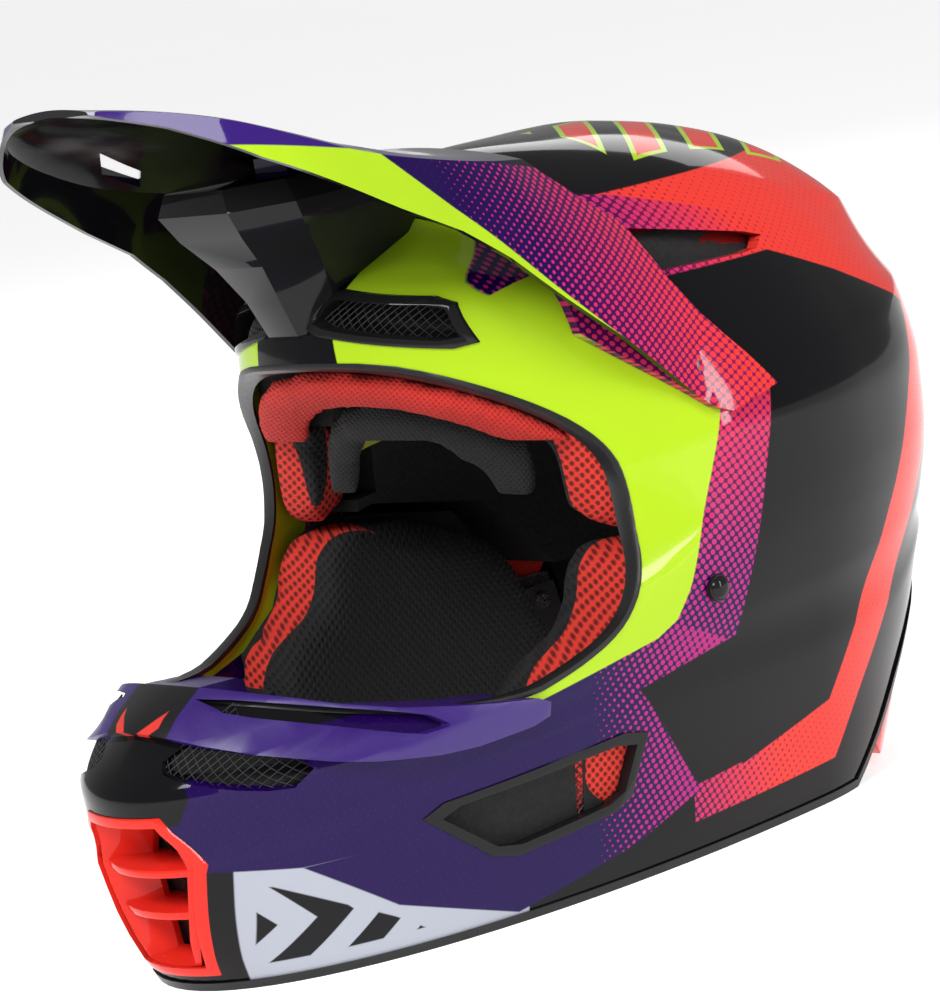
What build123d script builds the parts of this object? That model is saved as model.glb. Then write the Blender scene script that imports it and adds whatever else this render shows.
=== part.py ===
from build123d import *
import os

# Motocross helmet, resting on its bottom rim.  Millimetres.
# +X is the wearer's left, -Y the face, Z the height above the table.
# Every layer of the helmet is the same lofted egg, drawn in by its depth below the paint.

os.makedirs("parts", exist_ok=True)

# --- driving dimensions -------------------------------------------------------------------
PLACE_Y = 39.6            # moves the whole helmet so that its box is centred on the origin
EQUATOR = 128.0           # height of the widest level
HALF_WIDTH = 119.0        # at the equator
CROWN = 134.0             # from the equator up to the crown
WIDEST_Y = 15.0           # where every level is widest

SHELL = 4.0               # laminate thickness
EPS_OUT = SHELL + 0.6     # outer face of the energy liner, below the paint
EPS_IN = 34.0             # its inner face
SLIP_OUT, SLIP_IN = 36.6, 37.8     # turning low-friction liner
PAD_OUT, PAD_IN = 38.1, 48.0       # washable comfort liner
TRIM = 3.5                # width of the rubber trims
GAP = 0.4                 # running clearance between bodies
VISOR_WALL = 3.0
CHEEK_PLATE, CHEEK_PAD = (20.5, 22), (22, 47)      # depths of the cheek plates and pads
SOCKET_RADIUS, SOCKET_BORE, STUD_RADIUS = 5.0, 3.6, 3.2
MAGNET_RADIUS, MIDDLE_MAGNET_RADIUS = 6.5, 8.0
SCREW_RADIUS, RIVET_RADIUS, SNAP_RADIUS = 3.6, 3.0, 4.0
STRAP_FRONT, STRAP_BACK, STRAP_THICK = 48, 68, 2.2
RING_LOW, RING_HIGH = 8.0, 13.5    # heights of the two D-ring bars
RING_X = 39.0                      # where the bars lie across the helmet
LOOP_INNER, LOOP_OUTER = 2.0, 2.7  # sewn tubes round the bars

# height, front, rear and half width of each level of the egg
LEVELS = [
    (0, -222, 108, 95), (15, -229, 118, 98), (35, -234, 128, 101), (54, -236, 137, 105),
    (73, -236, 144, 109), (88, -222, 149, 113), (103, -205, 152, 116), (115, -172, 154, 118),
    (EQUATOR, -142, 155, HALF_WIDTH), (148, -131, 154, 119), (170, -128, 149, 115),
    (190, -121, 142, 107), (208, -112, 131, 97), (225, -98, 115, 83), (240, -79, 95, 66),
    (252, -55, 70, 45), (259, -31, 46, 26), (CROWN + EQUATOR, -8, 30, 12),
]

# side outlines, each point (y, z)
EYEPORT = [(-260, 206), (-118, 203), (-97, 190), (-75, 172), (-63, 156), (-61, 145), (-64, 122),
           (-71, 104), (-84, 91), (-122, 80), (-170, 87), (-212, 104), (-260, 118)]
REAR_RISE = [(36, -10), (36, 0), (62, 22), (95, 49), (125, 64), (220, 88), (220, -10)]
TEMPLE_LINE = [(-150, 118), (-30, 126), (30, 112), (58, 74), (100, 40), (200, 30), (200, -20),
               (-300, -20), (-300, 118)]
CHIN_VENT = [(-164, 51), (-70, 58), (-82, 30), (-132, 25)]
SIDE_SLOT = [(-50, 236), (18, 217), (14, 212), (-40, 213)]
GUARD_SIDE = [(-118, 79), (-170, 86.3), (-212, 103.3), (-222, 107), (-222, 96), (-170, 76), (-118, 71)]
NECK_SIDE = [(74, 36), (96, 54), (130, 71), (152, 76), (152, 96), (72, 62)]
CHEEK_ZONE = [(-97, 12), (-97, 82), (-72, 94), (-56, 114), (-34, 122), (24, 109), (42, 74), (38, 16),
              (30, 8), (-90, 8)]
SOCKETS = [(25, 95.5), (-68, 44.5), (25, 44.5)]
LIP_SIDE = [(73, 4), (106, 22), (106, 42), (90, 36), (73, 24)]
DUCT_SIDE = [(-131, 216), (-131, 262), (-84, 275), (-60, 262), (-60, 216)]
DUCT_NOTCH = [(-140, 212), (-140, 232), (-100, 232), (-100, 212)]
LEG_MAGNET = (-24, 176)
SCREW = (-39, 99)

# front and rear outlines, each point (x, z)
MOUTH = [(-27, 68), (27, 68), (40, 50), (21, 8), (-21, 8), (-40, 50)]
BROW_VENT = [(22, 229), (72, 221), (80, 203), (14, 215)]
TOP_VENT = [(14, 84), (30, 99), (62, 78), (58, 70)]
REAR_WINDOW = [(-58, 92), (-50, 150), (50, 150), (58, 92)]
STRAP_PATH = [(91.2, 68), (86, 42), (66, 19), (42, 9)]
LONG_PATH = [(91.2, 68), (86, 42), (66, 19), (38, 7), (2, 5)]

# arches of the visor: distance, half width, height of its edge, height of its ridge
ARCHES = [
    (8, 121.5, 128, 265.5), (-28, 118, 140, 263), (-60, 111, 185, 262), (-100, 98.5, 230, 268),
    (-134, 91, 254, 280), (-158, 85, 270, 290), (-176, 75, 282, 298), (-192, 47, 297, 304),
    (-200, 18, 303, 306),
]
VISOR_SIDE = [(-230, 332), (-193, 299.5), (-175, 282), (-134, 256.5), (-112, 244), (-96, 231),
              (-60, 195), (-30, 163), (-2, 166), (-12, 182), (-47, 213), (-62, 236), (-50, 268),
              (-60, 340), (-230, 340)]


# --- builders shared by the sub-parts -----------------------------------------------------
def level_sketch(height, front, rear, half_width):
    """One level of the egg: two half ellipses that meet at the widest line."""
    with BuildSketch(Plane.XY.offset(height)) as level:
        with BuildLine():
            EllipticalCenterArc((0, WIDEST_Y), half_width, rear - WIDEST_Y, 0, arc_size=180)
            EllipticalCenterArc((0, WIDEST_Y), half_width, WIDEST_Y - front, 180, arc_size=180)
        make_face()
    return level.sketch


def egg(depth):
    """Solid egg whose surface lies `depth` below the paint, open past the bottom rim."""
    levels = []
    for height, front, rear, half_width in LEVELS:
        if height > EQUATOR:
            shrink_x = 1 - depth / HALF_WIDTH
            shrink_z = 1 - depth / CROWN
            shrink_y = 1 - depth / (CROWN + 6)
            height = EQUATOR + (height - EQUATOR) * shrink_z
            front = WIDEST_Y - (WIDEST_Y - front) * shrink_y
            rear = WIDEST_Y + (rear - WIDEST_Y) * shrink_y
            half_width = half_width * shrink_x
        else:
            front, rear, half_width = front + depth, rear - depth, half_width - depth
        if height == 0 and depth != 0:
            height = -6
        levels.append(level_sketch(height, front, rear, half_width))
    with BuildPart() as solid:
        loft(sections=levels, ruled=True)
    return solid.part


def layer(outer, inner):
    """Hollow layer between two depths."""
    return EGGS(outer) - EGGS(inner)


class EggStore:
    """Makes each egg once."""

    def __init__(self):
        self.made = {}

    def __call__(self, depth):
        if depth not in self.made:
            self.made[depth] = egg(depth)
        return self.made[depth]


EGGS = EggStore()


def side_prism(points, grow=0.0, half=160.0, from_x=None, to_x=None):
    """Prism across the helmet from a side outline, grown or shrunk by `grow`."""
    near = -half if from_x is None else from_x
    far = half if to_x is None else to_x
    with BuildPart() as prism:
        with BuildSketch(Plane.YZ.offset(near)):
            with BuildLine():
                Polyline(*points, close=True)
            make_face()
            if grow:
                offset(amount=grow, kind=Kind.INTERSECTION)
        extrude(amount=far - near)
    return prism.part


def front_prism(points, front, back, grow=0.0):
    """Prism along the helmet from a front outline."""
    with BuildPart() as prism:
        with BuildSketch(Plane.XZ.offset(-back)):
            with BuildLine():
                Polyline(*points, close=True)
            make_face()
            if grow:
                offset(amount=grow, kind=Kind.INTERSECTION)
        extrude(amount=back - front)
    return prism.part


def box(low, high):
    """Box between two corners, used as a cutter or a limit."""
    size = [b - a for a, b in zip(low, high)]
    centre = [(a + b) / 2 for a, b in zip(low, high)]
    with BuildPart() as block:
        with Locations(tuple(centre)):
            Box(*size)
    return block.part


def rod(start, direction, radius, length):
    """Straight rod from a point along a direction."""
    with BuildPart() as bar:
        with BuildSketch(Plane(origin=start, z_dir=direction)):
            Circle(radius)
        extrude(amount=length)
    return bar.part


def both_sides(solid):
    """The solid and its mirror image, as one group."""
    return solid + mirror(solid, about=Plane.YZ)


def write(solid, label):
    """Put the sub-part in the helmet's frame, label it and write its file."""
    with BuildPart() as piece:
        add(solid)
    piece.part = piece.part.moved(Location((0, PLACE_Y, 0)))
    piece.part.label = label
    export_step(piece.part, f"parts/{label}.step")


# --- cutters ------------------------------------------------------------------------------
port = side_prism(EYEPORT)
port_inner = side_prism(EYEPORT, -TRIM)
rise = side_prism(REAR_RISE)
table_slab = box((-200, -300, -20), (200, 300, 3))
rise_grown = side_prism(REAR_RISE, 3)
above_table = box((-200, -300, 0), (200, 300, 400))

mouth_cut = front_prism(MOUTH, -260, -150)
chin_vent_near = side_prism(CHIN_VENT, from_x=50, to_x=130)
chin_vent_far = mirror(chin_vent_near, about=Plane.YZ)
brow_near = front_prism(BROW_VENT, -140, -60)
brow_far = mirror(brow_near, about=Plane.YZ)
slot_near = side_prism(SIDE_SLOT, from_x=60, to_x=130)
slot_far = mirror(slot_near, about=Plane.YZ)

chin_top_near = front_prism(TOP_VENT, -250, -150)
chin_top_far = mirror(chin_top_near, about=Plane.YZ)
rear_cut = front_prism(REAR_WINDOW, 100, 180)
vents = [mouth_cut, chin_vent_near, chin_vent_far, brow_near, brow_far, slot_near, slot_far,
         chin_top_near, chin_top_far, rear_cut]

# --- outer shell and its trims -----------------------------------------------------------
skin_layer = layer(0, SHELL)
outer_shell = skin_layer - port - rise_grown - table_slab
for cut in vents:
    outer_shell = outer_shell - cut

eyeport_band = layer(-2, 8) & (port - port_inner)
write(eyeport_band & box((-200, -226, 60), (200, 0, 230)), "eyeport_trim")

rim = (table_slab & above_table) + (rise_grown & above_table)
bottom_band = (layer(-1.2, 9) & rim) - rise
write(bottom_band, "bottom_trim")


def split_vent(cut, core, bezel_name, mesh_name):
    """Write a vent's frame and its mesh, each on both sides of the helmet."""
    frame_ring = layer(-0.6, SHELL) & (cut - core)
    mesh = layer(2.0, 3.2) & core
    write(both_sides(frame_ring), bezel_name)
    write(both_sides(mesh), mesh_name)


split_vent(brow_near, front_prism(BROW_VENT, -140, -60, -3), "brow_vent_bezels", "brow_vent_meshes")
split_vent(chin_vent_near, side_prism(CHIN_VENT, -4, from_x=50, to_x=130),
           "chin_vent_bezels", "chin_vent_meshes")
write(both_sides(layer(1.5, 3.0) & slot_near), "crown_slot_inserts")
write(both_sides((layer(1.0, 2.6) & chin_top_near) - port), "chin_top_meshes")

rear_ring = layer(-4, SHELL) & (rear_cut - front_prism(REAR_WINDOW, 100, 180, -8))
write(rear_ring, "rear_vent_housing")
write(layer(1.5, 3.0) & front_prism(REAR_WINDOW, 100, 180, -8), "rear_vent_grille")

# --- mouth vent ---------------------------------------------------------------------------
duct = front_prism(MOUTH, -260, -196) - front_prism(MOUTH, -260, -196, -3.5)
write(duct & EGGS(-1.5), "mouth_frame")
mouth_core = front_prism(MOUTH, -260, -150, -3.5)
bars = [box((-40, -232, z), (40, -214, z + 3)) for z in (20, 48)]
bars.append(box((-1.8, -232, 8), (1.8, -214, 68)))
ribs = bars[0] + bars[1] + bars[2]
write(ribs & mouth_core & EGGS(3), "mouth_ribs")
write(mouth_core & box((-60, -212.5, 0), (60, -210.5, 90)), "mouth_mesh")
write(mouth_core & box((-60, -209.5, 0), (60, -203.5, 90)), "dust_filter")

# --- nose guard: the soft roll on top of the chin bar ------------------------------------
guard_band = side_prism(GUARD_SIDE)
guard_body = (EGGS(-3.5) - EGGS(SHELL + 14)) & guard_band
guard = guard_body - layer(0, SHELL) - port - eyeport_band
guard = guard.solids().sort_by(SortBy.VOLUME)[-1]
write(guard, "nose_guard")

temple_near = box((20, -62, 130), (160, -26, 164))
temple_zone = temple_near + mirror(temple_near, about=Plane.YZ)
neck_zone = side_prism(NECK_SIDE)

# --- energy liners ------------------------------------------------------------------------
eyeport_back = side_prism(EYEPORT, 6)
temple_cut = side_prism(TEMPLE_LINE)
crown_liner = layer(EPS_OUT, EPS_IN) - eyeport_back - temple_cut - side_prism(REAR_RISE, 8)
crown_liner = crown_liner - box((-200, -300, 0), (200, -40, 165)) - temple_zone - neck_zone
crown_liner = crown_liner - box((-140, 45, 0), (140, 71, 80))
write(crown_liner.solids().sort_by(SortBy.VOLUME)[-1], "crown_energy_liner")

chin_zone = box((-200, -300, 5), (200, -100, 74))
chin_liner = (layer(EPS_OUT, 30) & chin_zone) - side_prism(EYEPORT, 12)
chin_liner = chin_liner - front_prism(MOUTH, -260, -150, 1)
write(chin_liner, "chin_energy_liner")

cheek_left = side_prism(CHEEK_ZONE, from_x=20, to_x=160)
side_liner = (layer(EPS_OUT, 20) & cheek_left) - side_prism(EYEPORT, 0.5)


def cheek_snaps(radius, near, far):
    """The three snap positions of a cheek pad, as rods across the helmet."""
    rods = [rod((near, y, z), (1, 0, 0), radius, far - near) for y, z in SOCKETS]
    return rods[0] + rods[1] + rods[2]


snap_bores = cheek_snaps(SOCKET_RADIUS, 60, 130)
snap_rings = cheek_snaps(SOCKET_RADIUS, 60, 99) - cheek_snaps(SOCKET_BORE, 50, 96)
snap_studs = cheek_snaps(STUD_RADIUS, 50, 94)
for side, sign in (("left", 1), ("right", -1)):
    pieces = {
        f"side_energy_liner_{side}": side_liner - snap_bores,
        f"snap_sockets_{side}": snap_rings & layer(EPS_OUT, 20) & cheek_left,
        f"cheek_plate_{side}": (layer(*CHEEK_PLATE) + (snap_studs & layer(8, 21))) & cheek_left,
        f"cheek_pad_{side}": (layer(*CHEEK_PAD) & cheek_left) - snap_studs,
    }
    for name, solid in pieces.items():
        write(solid if sign > 0 else mirror(solid, about=Plane.YZ), name)

# --- turning liner and comfort liner ------------------------------------------------------
liner_zone = box((-200, -200, 150), (200, 300, 400)) - side_prism(EYEPORT, 16)
write(layer(SLIP_OUT, SLIP_IN) & liner_zone, "slip_liner")
write(layer(PAD_OUT - 0.3, PAD_IN) & liner_zone, "crown_comfort_pad")

ANCHOR_DIRECTIONS = [(1, 0, 0.75), (-1, 0, 0.75), (0, 1, 0.7), (0, -0.75, 1)]
anchor_rods = None
for direction in ANCHOR_DIRECTIONS:
    anchor = rod((0, WIDEST_Y, EQUATOR), direction, 5, 140)
    anchor_rods = anchor if anchor_rods is None else anchor_rods + anchor
write(layer(EPS_IN, SLIP_OUT - GAP) & anchor_rods, "slip_anchors")

brow_band = side_prism(EYEPORT, 1.5) - side_prism(EYEPORT, -9)
brow_zone = box((-200, -200, 172), (200, -40, 215)) & brow_band
write(layer(8.4, 33) & brow_zone, "brow_pad")

temple_pad = (layer(EPS_OUT, 33) & temple_near) - side_prism(EYEPORT, 0.5)
write(temple_pad, "temple_pad_left")
write(mirror(temple_pad, about=Plane.YZ), "temple_pad_right")

# --- rear neck roll and lower lip ---------------------------------------------------------
write(layer(EPS_OUT, 40) & neck_zone, "neck_roll")
write(layer(9, 15) & side_prism(LIP_SIDE), "rear_lip")


# --- visor --------------------------------------------------------------------------------
def arch_sketch(y, half_width, edge, ridge, wall):
    """Arch of the visor: half an ellipse standing on straight legs."""
    width, edge, top = half_width - wall, edge - wall, ridge - wall
    with BuildSketch(Plane.XZ.offset(-y)) as arch:
        with BuildLine():
            EllipticalCenterArc((0, edge), width, top - edge, 0, arc_size=180)
            Polyline((-width, edge), (-width, edge - 70), (width, edge - 70), (width, edge))
        make_face()
    return arch.sketch


def arch_solid(wall):
    """Solid arch of the visor, with every station drawn in by a wall."""
    with BuildPart() as solid:
        loft(sections=[arch_sketch(y, w, e, r, wall) for y, w, e, r in ARCHES], ruled=True)
    return solid.part


visor_hollow = arch_solid(VISOR_WALL)
visor = (arch_solid(0) & side_prism(VISOR_SIDE)) - visor_hollow - EGGS(-GAP)
visor = visor.solids().sort_by(SortBy.VOLUME)[-1]

# black duct between the brow and the visor, with the middle magnet in its roof
duct_block = side_prism(DUCT_SIDE, half=26) & arch_solid(VISOR_WALL + GAP + 0.6)
brow_duct = duct_block - EGGS(0.0) - brow_near - brow_far - side_prism(DUCT_NOTCH, half=18)
brow_duct = brow_duct.solids().sort_by(SortBy.VOLUME)[-1]

leg_rod = rod((90, *LEG_MAGNET), (1, 0, 0), MAGNET_RADIUS, 50)
leg_rods = leg_rod + mirror(leg_rod, about=Plane.YZ)
middle_rod = rod((0, -100, 235), (0, 0, 1), MIDDLE_MAGNET_RADIUS, 50)
write(visor & (leg_rods + middle_rod), "visor_magnets")
write(visor - leg_rods - middle_rod, "visor")
top_of_duct = duct_block - arch_solid(VISOR_WALL + GAP + 4)
middle_keeper = brow_duct & middle_rod & top_of_duct
write((layer(0, SHELL) & leg_rods) + middle_keeper, "shell_magnets")
write(brow_duct - middle_keeper, "brow_duct")
outer_shell = outer_shell - leg_rods

# --- side screws --------------------------------------------------------------------------
screws = both_sides(rod((100, *SCREW), (1, 0, 0), SCREW_RADIUS, 30) & layer(-2.2, SHELL))
outer_shell = outer_shell - screws
write(screws, "side_screws")

# --- chin strap ---------------------------------------------------------------------------
def strap_band(path, width, front, back):
    """Webbing that follows a path across the helmet."""
    with BuildPart() as band:
        with BuildSketch(Plane.XZ.offset(-back)):
            with BuildLine():
                FilletPolyline(*path, radius=10)
            trace(line_width=width)
        extrude(amount=back - front)
    return band.part


def ring_loop(height):
    """Sewn tube that holds the bar of one D-ring."""
    with BuildPart() as loop:
        with BuildSketch(Plane.XZ.offset(-STRAP_BACK + 3)):
            with Locations((RING_X, height)):
                Circle(LOOP_OUTER)
                Circle(LOOP_INNER, mode=Mode.SUBTRACT)
        extrude(amount=STRAP_BACK - STRAP_FRONT - 6)
    return loop.part


def d_ring(height):
    """Wire ring: a rounded frame whose straight bar runs through the loop."""
    with BuildPart() as ring:
        with BuildSketch(Plane.XY.offset(height - 1.3)):
            with Locations((29.8, (STRAP_FRONT + STRAP_BACK) / 2)):
                RectangleRounded(21, 26, 6)
                RectangleRounded(15.8, 20.8, 3.4, mode=Mode.SUBTRACT)
        extrude(amount=2.6)
    return ring.part


anchor_limits = box((40, STRAP_FRONT, 50), (140, STRAP_BACK, 72))
anchor_plate = layer(SHELL + 0.1, SHELL + 1.6) & anchor_limits
rivet = rod((80, 58, 62), (1, 0, 0), RIVET_RADIUS, 30) & layer(1, 12)
strap_free = EGGS(SHELL + 1.7)
short_strap = strap_band(STRAP_PATH, STRAP_THICK, STRAP_FRONT, STRAP_BACK) & strap_free
ring_space = box((30, 0, 0), (41.2, 100, 20))
web = box((40.8, STRAP_FRONT + 3, RING_LOW), (42.8, STRAP_BACK - 3, RING_HIGH))
short_strap = (short_strap - ring_space) + web + ring_loop(RING_LOW) + ring_loop(RING_HIGH)

long_strap = strap_band(LONG_PATH, STRAP_THICK, STRAP_FRONT, STRAP_BACK) & strap_free
snap_stud = rod((9, 58, 3), (0, 0, 1), SNAP_RADIUS, 6)
sleeve_limits = box((58, 0, 14), (77, 100, 33))
sleeve_hole = strap_band(STRAP_PATH, STRAP_THICK + 0.2, STRAP_FRONT - 0.1, STRAP_BACK + 0.1)
sleeve_path = strap_band(STRAP_PATH, 7, STRAP_FRONT - 1, STRAP_BACK + 1) - sleeve_hole

write(short_strap - rivet, "chin_strap_short")
write(mirror(long_strap - rivet - snap_stud, about=Plane.YZ), "chin_strap_long")
write(mirror(snap_stud, about=Plane.YZ), "strap_snap_button")
write(both_sides(sleeve_path & sleeve_limits), "strap_sleeves")
write(both_sides(anchor_plate - rivet), "strap_anchor_plates")
write(both_sides(rivet), "strap_rivets")
write(d_ring(RING_LOW), "d_ring_lower")
write(d_ring(RING_HIGH), "d_ring_upper")
write(outer_shell - both_sides(rivet), "outer_shell")
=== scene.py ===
import math
from contextlib import contextmanager

import bmesh
import bpy
import numpy as np
from mathutils import Matrix, Vector


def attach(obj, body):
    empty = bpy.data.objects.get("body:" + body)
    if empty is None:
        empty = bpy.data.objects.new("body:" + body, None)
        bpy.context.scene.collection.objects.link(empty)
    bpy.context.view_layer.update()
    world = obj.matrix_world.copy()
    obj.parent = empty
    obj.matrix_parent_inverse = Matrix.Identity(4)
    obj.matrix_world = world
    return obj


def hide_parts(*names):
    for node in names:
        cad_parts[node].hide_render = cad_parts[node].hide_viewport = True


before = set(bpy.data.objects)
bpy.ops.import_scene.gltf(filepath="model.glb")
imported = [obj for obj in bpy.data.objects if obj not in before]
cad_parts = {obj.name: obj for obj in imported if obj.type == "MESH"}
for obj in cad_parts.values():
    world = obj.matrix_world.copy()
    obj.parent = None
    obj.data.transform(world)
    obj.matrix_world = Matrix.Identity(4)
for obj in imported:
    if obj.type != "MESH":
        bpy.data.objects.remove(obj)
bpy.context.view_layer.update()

# Design dimensions are millimetres in the helmet's own frame; MM and PLACE_Y bring them to the
# frame's metres.
MM = 0.001
PLACE_Y = 0.0396
EQUATOR, CROWN, HALF_WIDTH, WIDEST_Y = 128.0, 134.0, 119.0, 15.0
TOP = 262.4
SHELL = 4.0
VISOR_WALL = 2.6
PASS = 170             # half length of a cutter that runs across the whole helmet
DIAGONAL = 0.7071      # side of a square over its diagonal
CORNER = 0.12          # share of each side that a vent's rounded corner takes

# ------------------------------------------------------------------------------ small maths


def smooth(x, xs, ys):
    """Cubic Hermite curve through the points, with flat-limited slopes."""
    xs, ys = np.asarray(xs, float), np.asarray(ys, float)
    steps = np.diff(ys) / np.diff(xs)
    slopes = np.empty_like(ys)
    slopes[0], slopes[-1] = steps[0], steps[-1]
    left, right = steps[:-1], steps[1:]
    same = left * right > 0
    slopes[1:-1] = np.where(same, 2 * left * right / np.where(same, left + right, 1), 0)
    x = np.clip(x, xs[0], xs[-1])
    i = np.clip(np.searchsorted(xs, x, side="right") - 1, 0, len(xs) - 2)
    h = xs[i + 1] - xs[i]
    t = (x - xs[i]) / h
    return ((1 + 2 * t) * (1 - t) ** 2 * ys[i] + t * (1 - t) ** 2 * h * slopes[i]
            + t * t * (3 - 2 * t) * ys[i + 1] + t * t * (t - 1) * h * slopes[i + 1])


# height: front, rear and half width of the shell
LEVELS = np.array([
    (-8, -219, 104, 93), (0, -222, 108, 95), (15, -229, 118, 98), (35, -234, 128, 101),
    (54, -236, 137, 105), (73, -236, 144, 109), (88, -224, 149, 113), (103, -206, 152, 116),
    (115, -172, 154, 118), (128, -142, 155, 119), (148, -131, 154, 119), (170, -128, 149, 115),
    (190, -121, 142, 107), (208, -112, 131, 97), (225, -98, 115, 83), (240, -79, 95, 66),
    (252, -55, 70, 45), (259, -31, 46, 26), (262, 0, 30, 9), (TOP, 15, 15, 0)], float)


def level(z):
    """Front reach, rear reach and half width at height z."""
    front, rear, half = (smooth(z, LEVELS[:, 0], LEVELS[:, k]) for k in (1, 2, 3))
    return WIDEST_Y - front, rear - WIDEST_Y, half


def egg_xyz(angle, z, depth):
    """Point of the shell at a depth below the paint; z is the height on the painted surface."""
    upper = z > EQUATOR
    front, rear, half = level(z)
    reach = np.where(np.sin(angle) < 0, front, rear)
    half_in = np.where(upper, half * (1 - depth / HALF_WIDTH), half - depth)
    reach_in = np.where(upper, reach * (1 - depth / (CROWN + 6)), reach - depth)
    z_in = np.where(upper, EQUATOR + (z - EQUATOR) * (1 - depth / CROWN), z)
    return half_in * np.cos(angle), WIDEST_Y + reach_in * np.sin(angle), z_in


# feature lines of the shell, each a height over the side view's y
RIM = ([-240, 160], [-8, -8])
LOWER_CREASE = ([-240, -215, -170, -133, -70, 0, 60, 110, 160], [46, 46, 54, 62, 66, 64, 66, 84, 96])
CHIN_RIDGE = ([-240, -204, -180, -135, -100, -60, 0, 60, 160], [60, 66, 71, 76, 80, 86, 88, 92, 112])
SIDE_CREASE = ([-150, -100, -75, -45, -25, 0, 50, 92, 160], [206, 186, 174, 163, 162, 166, 171, 176, 186])
GROOVE = ([-150, -80, -53, -6, 20, 50, 80, 107, 160], [263, 261, 259, 246, 238, 229, 218, 208, 192])
FEATURES = [RIM, LOWER_CREASE, CHIN_RIDGE, SIDE_CREASE, GROOVE]

# how far the paint stands out from the egg along each feature line
STAND_OUT = [
    ([-240, 160], [-1.0, -1.0]),
    ([-240, -200, -150, -60, 0, 160], [0, 0.5, 2.0, 0.5, 0, 0]),
    ([-240, -200, -170, -120, -60, 160], [0, 0.5, 2.5, 1.0, -1, 0]),
    ([-150, -75, -50, -20, 50, 100, 160], [0, -0.5, 0.0, 2.5, 2.5, 6, 7]),
    ([-150, -60, 0, 70, 107, 160], [0, 2.5, 3.0, 4.0, 8.0, 8.0]),
]


def brow_bulge(y, z):
    """The brow stands forward of the egg around the brow vents."""
    reach = np.clip((-y - 45) / 35, 0, 1)
    return 10 * reach * np.exp(-((z - 213) / 17) ** 2)


def chin_pinch(x, y, z):
    """How far the top of the chin bar is drawn back beside its middle, as a blunt V in plan."""
    band = smooth(z, [80, 92, 108, 122], [0, 1, 1, 0])
    return band * np.where(y < -90, smooth(np.abs(x), [0, 28, 60, 82, 97], [0, 4, 12, 10, 0]), 0)


def shell_rows(angles, counts):
    """Heights and stand-out of every row of the styled shell, row by row."""
    lines = []
    for ys, zs in FEATURES:
        z = np.full(angles.shape, float(np.mean(zs)))
        for _ in range(12):
            y = egg_xyz(angles, z, 0)[1]
            z = 0.5 * z + 0.5 * smooth(y, ys, zs)
        lines.append(z)
    lines.append(np.full(angles.shape, TOP))
    bumps = []
    for (ys, out), z in zip(STAND_OUT, lines):
        bumps.append(smooth(egg_xyz(angles, z, 0)[1], ys, out))
    bumps.append(np.zeros(angles.shape))
    sag = [0, -1.2, 0, -2.5, 1.5]
    rows = []
    for k, count in enumerate(counts):
        for i in range(count):
            t = i / count
            if k == len(counts) - 1:
                t = math.sin(t * math.pi / 2)
            z = lines[k] + (lines[k + 1] - lines[k]) * t
            bump = bumps[k] + (bumps[k + 1] - bumps[k]) * t + sag[k] * math.sin(math.pi * t)
            rows.append((z, bump))
    rows.append((lines[-1] - 0.02, bumps[-1]))
    return rows


def to_frame(x, y, z):
    """Point of the helmet in millimetres, in the frame's metres."""
    return (float(x) * MM, float(y) * MM + PLACE_Y, float(z) * MM)


# ------------------------------------------------------------------------------ mesh helpers


def new_object(name, verts, faces):
    mesh = bpy.data.meshes.new(name)
    mesh.from_pydata(verts, [], faces)
    mesh.validate()
    obj = bpy.data.objects.new(name, mesh)
    bpy.context.scene.collection.objects.link(obj)
    return obj


def grid_object(name, rows, closed=True):
    """Closed surface through rings of points, with a flat cap at each end."""
    count = len(rows[0])
    verts = [point for row in rows for point in row]
    faces = []
    for r in range(len(rows) - 1):
        for c in range(count if closed else count - 1):
            d = (c + 1) % count
            faces.append((r * count + c, r * count + d, (r + 1) * count + d, (r + 1) * count + c))
    faces.append(tuple(reversed(range(count))))
    last = (len(rows) - 1) * count
    faces.append(tuple(range(last, last + count)))
    return new_object(name, verts, faces)


def egg_object(name, depth, columns=96, styled=True, counts=(6, 5, 18, 14, 16)):
    """The styled shell's surface at a depth, as a closed solid."""
    angles = (np.arange(columns) + 0.5) * 2 * math.pi / columns
    fade = max(0.0, 1 - max(depth, 0) / 12) if styled else 0.0
    rows = []
    for z, bump in shell_rows(angles, counts):
        y = egg_xyz(angles, z, 0)[1]
        total = depth - fade * (bump + brow_bulge(y, z))
        x, y, height = egg_xyz(angles, z, total)
        if styled:
            y = y + chin_pinch(x, y, height)
        rows.append([to_frame(*point) for point in zip(x, y, height)])
    return grid_object(name, rows)


def rounded(points, passes=1, share=0.25):
    """Corner-cutting of a closed outline."""
    pts = [Vector(p) for p in points]
    for _ in range(passes):
        cut = []
        for i, p in enumerate(pts):
            q = pts[(i + 1) % len(pts)]
            cut += [p.lerp(q, share), p.lerp(q, 1 - share)]
        pts = cut
    return [tuple(p) for p in pts]


def grown(points, amount):
    """Outline moved outwards by an amount, corner by corner."""
    area = sum(p[0] * q[1] - q[0] * p[1] for p, q in zip(points, points[1:] + points[:1]))
    turn = 1 if area > 0 else -1
    out = []
    for i, p in enumerate(points):
        a, b = Vector(points[i - 1]), Vector(points[(i + 1) % len(points)])
        p = Vector(p)
        n1 = Vector(((p - a).y, -(p - a).x)).normalized() * turn
        n2 = Vector(((b - p).y, -(b - p).x)).normalized() * turn
        n = (n1 + n2)
        scale = 1 / max(0.35, 0.5 * n.length_squared)
        out.append(tuple(p + n * amount * scale))
    return out


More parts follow.
